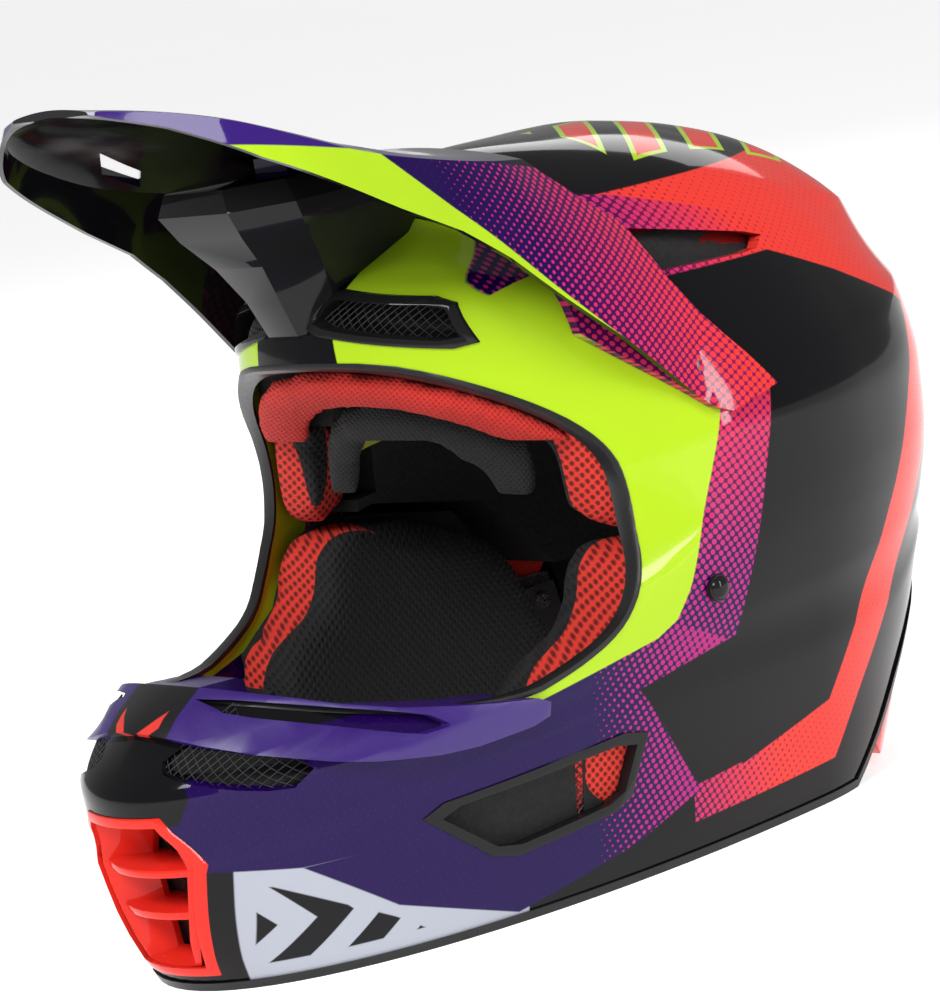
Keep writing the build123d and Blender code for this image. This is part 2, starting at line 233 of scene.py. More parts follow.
def prism(points, axis, low, high):
    """Closed prism from a side outline (axis X), a front outline (Y) or a plan outline (Z)."""
    rows = []
    for end in (low, high):
        if axis == "X":
            rows.append([to_frame(end, a, b) for a, b in points])
        elif axis == "Z":
            rows.append([to_frame(a, b, end) for a, b in points])
        else:
            rows.append([to_frame(a, end, b) for a, b in points])
    obj = grid_object("cutter", rows)
    fix_normals(obj)
    return obj


@contextmanager
def edited(obj):
    """The object's mesh, open for editing and then written back."""
    bm = bmesh.new()
    bm.from_mesh(obj.data)
    yield bm
    bm.to_mesh(obj.data)
    bm.free()


def fix_normals(obj):
    with edited(obj) as bm:
        bmesh.ops.recalc_face_normals(bm, faces=bm.faces)


def baked(obj):
    """Replace the mesh by what its modifiers make of it."""
    graph = bpy.context.evaluated_depsgraph_get()
    mesh = bpy.data.meshes.new_from_object(obj.evaluated_get(graph))
    obj.modifiers.clear()
    old = obj.data
    obj.data = mesh
    bpy.data.meshes.remove(old)


def cut(obj, *tools, operation="DIFFERENCE"):
    """Boolean of the object with each tool in turn; the tools are used up."""
    for tool in tools:
        modifier = obj.modifiers.new("cut", "BOOLEAN")
        modifier.operation = operation
        modifier.solver = "EXACT"
        modifier.object = tool
        baked(obj)
        bpy.data.objects.remove(tool)


def limited(obj, tool):
    """Keep only what lies inside the tool."""
    cut(obj, tool, operation="INTERSECT")


def joined(obj, tool):
    """Unite the object with the tool."""
    cut(obj, tool, operation="UNION")


def merge_doubles(obj):
    """Join the points that a union leaves within 0.02 mm of each other."""
    with edited(obj) as bm:
        bmesh.ops.remove_doubles(bm, verts=bm.verts, dist=0.02 * MM)


def mirrored_pair(obj):
    """Join the object with its mirror image in the helmet's middle plane."""
    with edited(obj) as bm:
        copy = bmesh.ops.duplicate(bm, geom=bm.verts[:] + bm.edges[:] + bm.faces[:])["geom"]
        verts = [g for g in copy if isinstance(g, bmesh.types.BMVert)]
        faces = [g for g in copy if isinstance(g, bmesh.types.BMFace)]
        for v in verts:
            v.co.x = -v.co.x
        bmesh.ops.reverse_faces(bm, faces=faces)
    return obj


def soften(obj, angle=28, bevel=0.0):
    """Smooth shading with crisp edges above an angle, and an optional fine bevel."""
    for face in obj.data.polygons:
        face.use_smooth = True
    if bevel:
        modifier = obj.modifiers.new("bevel", "BEVEL")
        modifier.width = bevel * MM
        modifier.segments = 2
        modifier.limit_method = "ANGLE"
        modifier.angle_limit = math.radians(45)
        modifier.harden_normals = False
        baked(obj)
    limit = math.radians(angle)
    with edited(obj) as bm:
        for edge in bm.edges:
            edge.smooth = len(edge.link_faces) != 2 or edge.calc_face_angle(0) < limit
    return obj


def patch(name, outer, inner, keep, drop=(), pair=False, styled=True):
    """Piece of the shell's layer between two depths, inside the keep prism."""
    obj = egg_object(name, outer, styled=styled)
    cut(obj, egg_object("inner", inner, styled=styled))
    limited(obj, keep)
    if drop:
        cut(obj, *drop)
    if pair:
        mirrored_pair(obj)
    return obj


def place(obj, body, slot, material, *nodes):
    """Material, body, slot and the CAD nodes that the piece stands for; the slot is not used."""
    obj.data.materials.clear()
    obj.data.materials.append(material)
    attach(obj, body)
    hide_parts(*nodes)


# ------------------------------------------------------------------------------ shader helpers


class Nodes:
    """Short names for the shader nodes used below; positions are millimetres (x, y, z)."""

    def __init__(self, name):
        self.material = bpy.data.materials.new(name)
        self.material.use_nodes = True
        self.tree = self.material.node_tree
        self.tree.nodes.clear()
        self.out = self.new("OutputMaterial")
        self.shader = self.new("BsdfPrincipled")
        self.tree.links.new(self.shader.outputs[0], self.out.inputs[0])
        coordinates = self.new("TexCoord")
        scale = self.new("VectorMath")
        scale.operation = "MULTIPLY_ADD"
        scale.inputs[1].default_value = (1000, 1000, 1000)
        scale.inputs[2].default_value = (0, -PLACE_Y * 1000, 0)
        self.link(coordinates.outputs["Object"], scale.inputs[0])
        self.point = scale.outputs[0]
        split = self.new("SeparateXYZ")
        self.link(self.point, split.inputs[0])
        self.x, self.y, self.z = split.outputs
        self.side = self.math("ABSOLUTE", self.x)

    def new(self, kind):
        return self.tree.nodes.new("ShaderNode" + kind)

    def link(self, a, b):
        self.tree.links.new(a, b)

    def put(self, socket, value):
        if isinstance(value, bpy.types.NodeSocket):
            self.link(value, socket)
        else:
            socket.default_value = value

    def math(self, operation, a, b=0.0, c=0.0):
        node = self.new("Math")
        node.operation = operation
        for socket, value in zip(node.inputs, (a, b, c)):
            self.put(socket, value)
        return node.outputs[0]

    def line(self, p, q, u=None, v=None):
        """Signed distance to the left of the line p to q, in the side view by default."""
        u = self.y if u is None else u
        v = self.z if v is None else v
        dx, dy = q[0] - p[0], q[1] - p[1]
        size = math.hypot(dx, dy)
        a, b = -dy / size, dx / size
        first = self.math("MULTIPLY_ADD", u, a, -(a * p[0] + b * p[1]))
        return self.math("MULTIPLY_ADD", v, b, first)

    def inside(self, points, u=None, v=None):
        """Distance inside a convex outline, anticlockwise; negative outside."""
        result = None
        for p, q in zip(points, points[1:] + points[:1]):
            d = self.line(p, q, u, v)
            result = d if result is None else self.math("MINIMUM", result, d)
        return result

    def step(self, distance, width=0.25):
        """0 outside to 1 inside, with a soft edge of the given width."""
        node = self.new("MapRange")
        node.inputs[1].default_value = -width
        node.inputs[2].default_value = width
        self.put(node.inputs[0], distance)
        return node.outputs[0]

    def ramp(self, value, low, high):
        node = self.new("MapRange")
        node.inputs[1].default_value = low
        node.inputs[2].default_value = high
        self.put(node.inputs[0], value)
        return node.outputs[0]

    def mix(self, factor, a, b):
        node = self.new("Mix")
        node.data_type = "RGBA"
        self.put(node.inputs[0], factor)
        for socket, value in ((node.inputs[6], a), (node.inputs[7], b)):
            if isinstance(value, tuple):
                socket.default_value = (*value, 1)
            else:
                self.link(value, socket)
        return node.outputs[2]

    def noise(self, scale, detail=2.0):
        node = self.new("TexNoise")
        node.inputs["Scale"].default_value = scale
        node.inputs["Detail"].default_value = detail
        self.link(self.point, node.inputs["Vector"])
        return node.outputs["Fac"]

    def bump(self, height, distance, strength=1.0):
        node = self.new("Bump")
        node.inputs["Strength"].default_value = strength
        node.inputs["Distance"].default_value = distance * MM
        self.link(height, node.inputs["Height"])
        self.link(node.outputs[0], self.shader.inputs["Normal"])

    def dots(self, pitch, u=None, v=None, turn=25):
        """Distance from the nearest point of a dot grid, in pitches."""
        u = self.y if u is None else u
        v = self.z if v is None else v
        c, s = math.cos(math.radians(turn)) / pitch, math.sin(math.radians(turn)) / pitch
        p = self.math("MULTIPLY_ADD", u, c, self.math("MULTIPLY", v, s))
        q = self.math("MULTIPLY_ADD", u, -s, self.math("MULTIPLY", v, c))
        p = self.math("SUBTRACT", self.math("FRACT", p), 0.5)
        q = self.math("SUBTRACT", self.math("FRACT", q), 0.5)
        return self.math("SQRT", self.math("MULTIPLY_ADD", p, p, self.math("MULTIPLY", q, q)))

    def set(self, **values):
        names = {"colour": "Base Color", "roughness": "Roughness", "coat": "Coat Weight",
                 "coat_roughness": "Coat Roughness", "metallic": "Metallic", "ior": "IOR",
                 "sheen": "Sheen Weight"}
        for key, value in values.items():
            socket = self.shader.inputs[names[key]]
            self.put(socket, (*value, 1) if isinstance(value, tuple) else value)
        return self.material


BLACK = (0.004, 0.004, 0.005)
LIME = (0.40, 0.62, 0.016)
PURPLE = (0.011, 0.001, 0.062)
VIOLET = (0.034, 0.010, 0.150)
MAGENTA = (0.42, 0.015, 0.17)
RED = (0.75, 0.040, 0.028)
WHITE = (0.40, 0.42, 0.48)


def scaled(colour, share):
    return tuple(share * c for c in colour)


def gloss_paint(nodes, colour):
    """Clear-coated paint with a faint orange peel and hand-polish marks."""
    peel = nodes.noise(0.35, 2.0)
    nodes.bump(peel, 0.03, 0.12)
    wear = nodes.ramp(nodes.noise(0.05, 4.0), 0.35, 0.75)
    rough = nodes.math("MULTIPLY_ADD", wear, 0.07, 0.07)
    nodes.shader.inputs["Specular IOR Level"].default_value = 0.12
    return nodes.set(colour=colour, roughness=rough, coat=0.22, coat_roughness=0.02)


def halftone(nodes, ground, dot, amount, pitch=2.6, u=None, v=None):
    """Dots of one colour on another; amount 0 to 1 sets their size."""
    radius = nodes.math("MULTIPLY", nodes.math("SQRT", nodes.math("MAXIMUM", amount, 0.0)), 0.62)
    inside = nodes.step(nodes.math("SUBTRACT", radius, nodes.dots(pitch, u, v)), 0.06)
    return nodes.mix(inside, ground, dot)


# painted areas of the shell, each a convex side-view outline (y, z), anticlockwise
SWEEP = [(-90, 13), (37, 17), (58, 28), (85, 75), (128, 150), (160, 190), (160, 240), (-90, 240)]
CROWN_SIDE = [(-45, 205), (150, 150), (150, 196), (107, 210), (-15, 239), (-45, 250)]
CHIN_UPPER = [(-245, 50), (-200, 42), (-55, 42), (-29, 77), (-58, 94), (-245, 86)]
CHIN_LOWER = [(-200, 42), (-171, 20), (-128, 4), (-78, 15), (-49, 26), (-49, 46)]
DOTTED_BAND = [(-60, 92), (-29, 76), (-1, 167), (-28, 170)]
PANEL_TOP = [(-2, 165), (100, 165), (105, 173), (63, 194), (31, 208), (-27, 209)]
PANEL_MIDDLE = [(-28, 29), (19, 40), (101, 167), (-1, 167), (-30, 76)]
PANEL_FRONT = [(-50, 28), (-27, 30), (-27, 79), (-75, 71)]
CHEEK_BROW = [(-160, 110), (-134, 76), (-66, 87.5), (-57, 92), (-51, 101), (-34, 139), (-25, 162),
              (-70, 245), (-160, 245)]
LOWER_CHIN = [(-245, -4), (-124, -4), (-124, 45), (-245, 50)]
MIDDLE_FRONT = [(-15, 112), (-25, 88), (-34, 78), (-26, 64), (26, 64), (34, 78), (25, 88), (15, 112)]
BROW_STRIP = [(60, 222), (67, 215), (84, 232), (60, 250), (36, 240)]


def shell_paint():
    n = Nodes("shell_paint")
    sweep_ground = n.mix(n.ramp(n.y, -60, 30), PURPLE, (0.42, 0.012, 0.016))
    sweep_dot = n.mix(n.ramp(n.y, -80, -10), MAGENTA, RED)
    sweep = halftone(n, sweep_ground, sweep_dot, n.ramp(n.y, -100, 20))
    colour = n.mix(n.step(n.inside(SWEEP)), BLACK, sweep)
    crown_ground = n.mix(n.ramp(n.y, -30, 40), PURPLE, (0.45, 0.014, 0.02))
    crown_dot = n.mix(n.ramp(n.y, -35, 25), MAGENTA, RED)
    crown = halftone(n, crown_ground, crown_dot, n.ramp(n.y, -70, 55))
    colour = n.mix(n.step(n.inside(CROWN_SIDE)), colour, crown)
    # pale lower chin with black chevrons, and black behind it
    lower = n.inside(LOWER_CHIN)
    wave = n.math("MULTIPLY_ADD", n.math("ABSOLUTE", n.math("SUBTRACT", n.z, 23.0)), 0.9, n.y)
    stripe = n.math("SUBTRACT", n.math("PINGPONG", n.math("ADD", wave, 400.0), 11.0), 5.5)
    field = n.inside([(-213, 9), (-160, 9), (-172, 16), (-200, 36), (-213, 38)])
    chevrons = n.step(n.math("MINIMUM", stripe, field))
    pale = n.mix(chevrons, WHITE, BLACK)
    beside_mouth = n.line((39, 50), (28, 5), n.side, n.z)
    bottom_black = n.math("SUBTRACT", 26.0, n.z)
    behind = n.math("MINIMUM", bottom_black, n.math("SUBTRACT", -52.0, n.y))
    colour = n.mix(n.step(behind), colour, BLACK)
    colour = n.mix(n.step(lower), colour, BLACK)
    colour = n.mix(n.step(n.math("MINIMUM", lower, beside_mouth)), colour, pale)
    chin = n.math("MAXIMUM", n.inside(CHIN_UPPER), n.inside(CHIN_LOWER))
    fade = halftone(n, PURPLE, MAGENTA, n.math("MULTIPLY", n.ramp(n.y, -95, -30), 0.8))
    colour = n.mix(n.step(chin), colour, fade)
    band_ground = n.mix(n.ramp(n.z, 110, 190), PURPLE, (0.17, 0.008, 0.09))
    band_amount = n.math("MULTIPLY_ADD", n.ramp(n.z, 60, 190), 0.5, 0.2)
    band = halftone(n, band_ground, n.mix(n.ramp(n.z, 100, 190), MAGENTA, RED), band_amount)
    colour = n.mix(n.step(n.inside(DOTTED_BAND)), colour, band)
    panel = n.math("MAXIMUM", n.inside(PANEL_TOP), n.inside(PANEL_MIDDLE))
    panel = n.math("MAXIMUM", panel, n.inside(PANEL_FRONT))
    colour = n.mix(n.step(panel), colour, BLACK)
    lime = n.math("MINIMUM", n.inside(CHEEK_BROW), n.line((17, 245), (23, 195), n.side, n.z))
    lime = n.math("MINIMUM", lime, n.math("MULTIPLY", n.inside(BROW_STRIP, n.side, n.z), -1))
    colour = n.mix(n.step(lime), colour, LIME)
    middle = n.math("MINIMUM", n.inside(MIDDLE_FRONT, n.x, n.z), n.math("SUBTRACT", -185.0, n.y))
    colour = n.mix(n.step(middle), colour, BLACK)
    return gloss_paint(n, crown_chevrons(n, colour))


def crown_chevrons(n, colour):
    """Plain chevrons, red with a lime edge, on the black of the crown."""
    wave = n.math("MULTIPLY_ADD", n.side, 0.8, n.y)
    t = n.math("PINGPONG", n.math("ADD", wave, 400.0), 15.0)
    field = n.math("MINIMUM", n.inside([(2, 150), (92, 150), (92, 300), (2, 300)]),
                   n.math("SUBTRACT", 26.0, n.math("ABSOLUTE", n.math("SUBTRACT", n.side, 34.0))))
    above = n.math("SUBTRACT", n.z, n.math("MULTIPLY_ADD", n.y, -0.24, 242.0))
    field = n.math("MINIMUM", field, above)
    lime = n.math("MINIMUM", field, n.math("SUBTRACT", t, 6.0))
    red = n.math("MINIMUM", n.math("SUBTRACT", field, 2.0), n.math("SUBTRACT", t, 8.5))
    colour = n.mix(n.step(lime), colour, LIME)
    return n.mix(n.step(red), colour, RED)


def visor_paint():
    n = Nodes("visor_paint")
    colour = n.mix(n.ramp(n.y, -135, -60), VIOLET, BLACK)
    tip = n.math("SUBTRACT", -178.0, n.y)
    colour = n.mix(n.step(n.math("MINIMUM", tip, n.math("SUBTRACT", 24.0, n.side))), colour, WHITE)
    top = n.math("SUBTRACT", n.z, n.math("MULTIPLY_ADD", n.y, -0.24, 243.0))
    side_ground = n.mix(n.ramp(n.y, -80, 0), PURPLE, (0.20, 0.010, 0.075))
    side_dot = n.mix(n.ramp(n.y, -90, -10), MAGENTA, RED)
    side = halftone(n, side_ground, side_dot, n.math("MULTIPLY", n.ramp(n.y, -110, 20), 0.75))
    colour = n.mix(n.step(n.math("MULTIPLY", top, -1)), colour, side)
    lime = n.line((-92, 231), (-130, 274))
    lime = n.math("MINIMUM", lime, n.math("MULTIPLY", n.math("SUBTRACT", top, 2.0), -1))
    colour = n.mix(n.step(lime), colour, LIME)
    inner = n.new("Attribute")
    inner.attribute_name = "underside"
    colour = n.mix(inner.outputs["Fac"], colour, BLACK)
    return gloss_paint(n, colour)


def guard_rubber():
    """Satin purple, with a black middle that carries a plain red chevron."""
    n = Nodes("nose_guard_rubber")
    n.bump(n.noise(1.6, 3.0), 0.05, 0.3)
    middle = n.math("SUBTRACT", 17.0, n.side)
    front = n.math("SUBTRACT", -188.0, n.y)
    colour = n.mix(n.step(n.math("MINIMUM", middle, front)), VIOLET, BLACK)
    v = n.math("ABSOLUTE", n.math("MULTIPLY_ADD", n.side, -0.7, n.math("SUBTRACT", n.z, 89.0)))
    mark = n.math("MINIMUM", n.math("SUBTRACT", 2.2, v), n.math("SUBTRACT", 12.0, n.side))
    colour = n.mix(n.step(n.math("MINIMUM", mark, front)), colour, RED)
    rough = n.math("MULTIPLY_ADD", n.noise(0.5), 0.12, 0.28)
    return n.set(colour=colour, roughness=rough)


def cheek_fabric():
    """Red spacer mesh in the outer part of the pad, black knit on its inner face, both with painted shade
    in their holes.
    """
    n = Nodes("cheek_fabric")
    across = n.math("MULTIPLY_ADD", n.x, 0.7, n.y)
    hole = n.ramp(n.dots(2.7, across, n.z, 35), 0.16, 0.42)
    # painted shade: the holes of the red mesh and of the black knit are darker copies of each colour
    red = n.mix(hole, (0.13, 0.004, 0.003), (0.70, 0.035, 0.020))
    black = n.mix(hole, (0.003, 0.003, 0.003), (0.009, 0.009, 0.010))
    front = n.math("MINIMUM", n.math("SUBTRACT", n.side, 73.0), n.math("SUBTRACT", -36.0, n.y))
    n.bump(hole, 0.8, 0.9)
    return n.set(colour=n.mix(n.step(front), black, red), roughness=0.85)


def plain_gloss(name, colour):
    """Glossy moulding in one colour with slow changes of shade."""
    n = Nodes(name)
    shade = n.ramp(n.noise(0.02, 3.0), 0.3, 0.7)
    return gloss_paint(n, n.mix(shade, scaled(colour, 0.8), colour))


def rubber(name, colour, roughness):
    """Satin rubber or plastic with a fine moulded grain."""
    n = Nodes(name)
    n.bump(n.noise(1.6, 3.0), 0.06, 0.3)
    tone = n.mix(n.ramp(n.noise(0.08, 3.0), 0.3, 0.7), scaled(colour, 0.8), colour)
    rough = n.math("MULTIPLY_ADD", n.noise(0.5), 0.14, roughness - 0.07)
    n.shader.inputs["Specular IOR Level"].default_value = 0.25
    return n.set(colour=tone, roughness=rough)


def metal(name, colour):
    """Brushed metal."""
    n = Nodes(name)
    n.bump(n.noise(2.5, 4.0), 0.02, 0.3)
    return n.set(colour=colour, metallic=1.0, roughness=n.math("MULTIPLY_ADD", n.noise(0.8), 0.2, 0.18))


def knit(name, colour, pitch, depth):
    """Knitted fabric: offset rows of loops, with painted shade in the gaps between them."""
    n = Nodes(name)
    across = n.math("MULTIPLY_ADD", n.x, 0.7, n.y)
    hole = n.ramp(n.dots(pitch, across, n.z, 35), 0.12, 0.42)
    # painted shade: the gaps between the loops take 0.6 of the colour; random patches of worn loops at
    # 0.8 of the colour keep the same painted shade in their gaps
    loop_gap_shade = scaled(colour, 0.6)
    tone = n.mix(hole, loop_gap_shade, colour)
    worn_loops_with_gap_shade = n.mix(hole, loop_gap_shade, scaled(colour, 0.8))
    tone = n.mix(n.ramp(n.noise(0.06, 3.0), 0.25, 0.8), tone, worn_loops_with_gap_shade)
    n.bump(hole, depth, 0.9)
    return n.set(colour=tone, roughness=0.85)


def foam(name, colour):
    """Expanded foam: fused beads."""
    n = Nodes(name)
    voronoi = n.new("TexVoronoi")
    voronoi.inputs["Scale"].default_value = 0.45
    n.link(n.point, voronoi.inputs["Vector"])
    n.bump(voronoi.outputs["Distance"], 0.4, 0.6)
    tone = n.mix(n.ramp(voronoi.outputs["Distance"], 0.0, 0.8), colour, scaled(colour, 0.5))
    return n.set(colour=tone, roughness=0.9)


def webbing(name):
    """Woven strap with fine diagonal ribs, painted lighter on their crests and darker in their troughs as
    light and shade.
    """
    n = Nodes(name)
    rows = n.math("PINGPONG", n.math("ADD", n.y, n.z), 0.9)
    n.bump(rows, 0.25, 0.8)
    # painted light and shade: the colour follows the rib height, lighter on the crests, darker in the
    # troughs
    return n.set(colour=n.mix(n.ramp(rows, 0, 0.9), (0.008,) * 3, (0.03,) * 3), roughness=0.8, sheen=0.2)


# ------------------------------------------------------------------------------ outlines
EYEPORT = [(-270, 207), (-150, 205), (-118, 202), (-97, 189), (-76, 171), (-66, 157), (-63.5, 143),
           (-66, 122), (-72, 106), (-82, 94), (-101, 86), (-124, 80.5), (-170, 88), (-212, 104),
           (-270, 120)]
MOUTH = [(-20, 67), (-31, 49), (-20, 7), (20, 7), (31, 49), (20, 67)]
MOUTH_SLOT = [(-6, 62), (-11, 47), (-7, 13), (7, 13), (11, 47), (6, 62)]
CHIN_VENT = [(-166, 52), (-134, 25), (-82, 30), (-72, 58)]
BROW_VENT = [(14, 226), (8, 213), (68, 199), (60, 218)]
SIDE_SLOT = [(-36, 231), (-25, 211), (26, 209), (34, 214)]
TOP_VENT = [(15, 83), (32, 97), (62, 77), (56, 70)]
REAR_WINDOW = [(-56, 92), (-48, 148), (48, 148), (56, 92)]
REAR_RISE = [(36, -12), (36, 0), (62, 22), (95, 49), (125, 64), (220, 88), (220, -12)]


def port_prism(amount=0.0):
    """Prism across the helmet through the eyeport, grown by an amount."""
    return prism(rounded(grown(EYEPORT, amount), 2), "X", -PASS, PASS)


def box_tool(low, high):
    """Box between two corners."""
    outline = [(low[1], low[2]), (high[1], low[2]), (high[1], high[2]), (low[1], high[2])]
    return prism(outline, "X", low[0], high[0])


def side_pair(outline, near, far):
    """Two prisms, one each side, from a side outline."""
    shape = rounded(outline, 1, CORNER)
    return [prism(shape, "X", near, far), prism(shape, "X", -far, -near)]


def front_pair(outline, front, back):
    """Two prisms, one each side, from a front outline."""
    shape = rounded(outline, 1, CORNER)
    flipped = [(-a, b) for a, b in shape]
    return [prism(shape, "Y", front, back), prism(flipped, "Y", front, back)]


# ------------------------------------------------------------------------------ camera and light
def make_camera():
    """Long lens, three quarters from the front, rolled as a helmet held nose up."""
    camera = bpy.data.objects.new("camera", bpy.data.cameras.new("camera"))
    bpy.context.scene.collection.objects.link(camera)
    azimuth, elevation, roll = (math.radians(a) for a in (48.74, 9.85, -10.49))
    back = Vector((math.sin(azimuth) * math.cos(elevation), -math.cos(azimuth) * math.cos(elevation),
                   math.sin(elevation)))
    level_right = Vector((math.cos(azimuth), math.sin(azimuth), 0))
    level_up = back.cross(level_right)
    right = level_right * math.cos(roll) + level_up * math.sin(roll)
    up = back.cross(right)
    turn = Matrix((right, up, back)).transposed().to_4x4()
    camera.matrix_world = Matrix.Translation((1.0131, -0.9373 + PLACE_Y, 0.3670)) @ turn
    camera.data.sensor_fit = "HORIZONTAL"
    camera.data.sensor_width = 36.0
    camera.data.lens = 139.5
    camera.data.clip_end = 30.0
    bpy.context.scene.camera = camera


def area_light(name, at, size, power, aim=(0, 0, 0.15)):
    light = bpy.data.objects.new(name, bpy.data.lights.new(name, "AREA"))
    light.data.shape = "RECTANGLE"
    light.data.size, light.data.size_y = size
    light.data.energy = power
    light.location = at
    light.rotation_euler = (Vector(at) - Vector(aim)).to_track_quat("Z", "Y").to_euler()
    bpy.context.scene.collection.objects.link(light)


def make_stage():
    verts = [(-60, -60, 0), (60, -60, 0), (60, 60, 0), (-60, 60, 0)]
    floor = new_object("floor", verts, [(0, 1, 2, 3)])
    n = Nodes("floor_paper")
    tone = n.mix(n.noise(0.002, 2.0), (0.86, 0.86, 0.86), (0.90, 0.90, 0.90))
    n.shader.inputs["Emission Color"].default_value = (1, 1, 1, 1)
    n.shader.inputs["Emission Strength"].default_value = 0.62
    floor.data.materials.append(n.set(colour=tone, roughness=0.9))
    world = bpy.data.worlds.new("studio")
    world.use_nodes = True
    background = world.node_tree.nodes["Background"]
    background.inputs[0].default_value = (1, 1, 1, 1)
    path = world.node_tree.nodes.new("ShaderNodeLightPath")
    strength = world.node_tree.nodes.new("ShaderNodeMapRange")
    strength.inputs[3].default_value = 0.30
    strength.inputs[4].default_value = 1.0
    world.node_tree.links.new(path.outputs["Is Camera Ray"], strength.inputs[0])
    world.node_tree.links.new(strength.outputs[0], background.inputs[1])
    bpy.context.scene.world = world
    area_light("key", (0.5, -1.7, 1.6), (1.0, 0.8), 36)
    area_light("side_strip", (1.9, 0.5, 0.9), (0.25, 1.5), 20)
    area_light("rim", (-0.9, 1.6, 1.4), (1.4, 0.7), 9)
    bpy.context.scene.view_settings.view_transform = "Standard"


make_camera()
make_stage()

# ------------------------------------------------------------------------------ materials
PAINT = shell_paint()
VISOR_PAINT = visor_paint()
GLOSS = plain_gloss("gloss_black_plastic", (0.012, 0.012, 0.013))
RED_GLOSS = plain_gloss("red_moulding", (0.80, 0.030, 0.018))
RUBBER = rubber("black_rubber_trim", (0.02, 0.02, 0.021), 0.3)
GUARD = guard_rubber()
MESH = rubber("black_grille", (0.05, 0.05, 0.052), 0.35)
STEEL = metal("brushed_steel", (0.62, 0.62, 0.64))
BLACK_PLASTIC = rubber("black_moulding", (0.03, 0.03, 0.03), 0.5)
SLIP = rubber("slip_sheet", (0.65, 0.68, 0.10), 0.35)
EPS = foam("energy_foam", (0.012, 0.012, 0.013))
FILTER = foam("filter_foam", (0.05, 0.02, 0.02))
RED_KNIT = knit("red_knit", (0.66, 0.024, 0.015), 1.7, 0.5)
CHEEK_FABRIC = cheek_fabric()
SLOT_RED = rubber("slot_floor", (0.16, 0.006, 0.006), 0.4)
BLACK_KNIT = knit("black_lining", (0.010, 0.010, 0.011), 1.6, 0.35)
WEB = webbing("black_webbing")


# ------------------------------------------------------------------------------ shell
def make_shell():
    shell = egg_object("shell", 0, columns=360, counts=(16, 8, 42, 28, 36))
    cut(shell, egg_object("inner", SHELL, columns=120))
    tools = [port_prism(), prism(MOUTH, "Y", -270, -150)]
    tools += side_pair(CHIN_VENT, 50, 130) + side_pair(SIDE_SLOT, 50, 130)
    tools += front_pair(BROW_VENT, -160, -50) + front_pair(TOP_VENT, -260, -150)
    tools += [prism(rounded(REAR_WINDOW, 1), "Y", 100, 190), prism(REAR_RISE, "X", -PASS, PASS)]
    tools.append(box_tool((-PASS, -300, -30), (PASS, 300, 2.4)))
    cut(shell, *tools)
    soften(shell, 24)
    place(shell, "shell", "painted_shell", PAINT, "outer_shell")


def make_trims():
    ring = port_prism(0.4)
    cut(ring, port_prism(-1.6))
    trim = patch("eyeport_rubber", -0.4, 5, ring, [box_tool((-PASS, -300, 0), (PASS, -216, 300))])
    place(soften(trim, 40, 0.5), "shell", "black_rubber", RUBBER, "eyeport_trim")
    band = box_tool((-PASS, -300, 0.0), (PASS, 36, 3.2))
    rim = patch("bottom_rubber", -1.0, 9, band)
    edge = REAR_RISE[1:-1]
    strip = [(y, z + 3.5) for y, z in edge] + edge[::-1]
    rear = patch("rear_rim", -1.0, 9, prism(strip, "X", -PASS, PASS))
    joined(rim, rear)
    place(soften(rim, 40), "shell", "black_rubber", RUBBER, "bottom_trim")


def surface_side(y, z, depth):
    """Half width of the shell at a side-view point."""
    front, rear, half = level(z)
    reach = np.where(y < WIDEST_Y, front, rear) - depth
    return (half - depth) * np.sqrt(np.clip(1 - ((y - WIDEST_Y) / reach) ** 2, 0.0, 1))


def surface_front(x, z, depth):
    """Foremost y of the shell at a front-view point."""
    front, _, half = level(z)
    y = WIDEST_Y - (front - depth) * np.sqrt(np.clip(1 - (x / (half - depth)) ** 2, 0.0, 1))
    return y - brow_bulge(y, z)


def lattice(name, outline, view, depth, pitch=2.3, wire=0.55, pair=True):
    """Diagonal wire mesh laid on the shell's surface inside an outline."""
    pts = np.array(outline)
    low, high = pts.min(0), pts.max(0)
    middle, reach = (low + high) / 2, float(np.max(high - low)) / 2 * 1.45
    count = int(reach / pitch) + 1
    shape = grown(outline, 1.0)
    verts, faces, made = [], [], {}

    def spot(i, j):
        if (i, j) not in made:
            u = middle[0] + (i - j) * pitch * DIAGONAL
            v = middle[1] + (i + j) * pitch * DIAGONAL
            if view == "side":
                place_at = to_frame(surface_side(u, v, depth), u, v)
            elif view == "front":
                place_at = to_frame(u, surface_front(u, v, depth), v)
            else:
                front, rear, half = level(v)
                back = WIDEST_Y + (rear - depth) * math.sqrt(max(0, 1 - (u / (half - depth)) ** 2))
                place_at = to_frame(u, back, v)
            made[(i, j)] = len(verts)
            verts.append(place_at)
        return made[(i, j)]

    for i in range(-count, count):
        for j in range(-count, count):
            u = middle[0] + (i - j) * pitch * DIAGONAL
            v = middle[1] + (i + j + 1) * pitch * DIAGONAL
            if contains(shape, u, v):
                faces.append((spot(i, j), spot(i + 1, j), spot(i + 1, j + 1), spot(i, j + 1)))
    obj = new_object(name, verts, faces)
    modifier = obj.modifiers.new("wires", "WIREFRAME")
    modifier.thickness = wire * MM
    modifier.use_even_offset = False
    baked(obj)
    return mirrored_pair(obj) if pair else obj


def contains(outline, u, v):
    """Whether a point lies inside an outline."""
    result = False
    for (ax, ay), (bx, by) in zip(outline, outline[1:] + outline[:1]):
        if (ay > v) != (by > v) and u < (bx - ax) * (v - ay) / (by - ay) + ax:
            result = not result
    return result


def ring_of(outline, axis, low, high, outer, inner):
    """Ring between two offsets of an outline."""
    ring = prism(rounded(grown(outline, outer), 1, CORNER), axis, low, high)
    cut(ring, prism(rounded(grown(outline, inner), 1, CORNER), axis, low - 5, high + 5))
    return ring


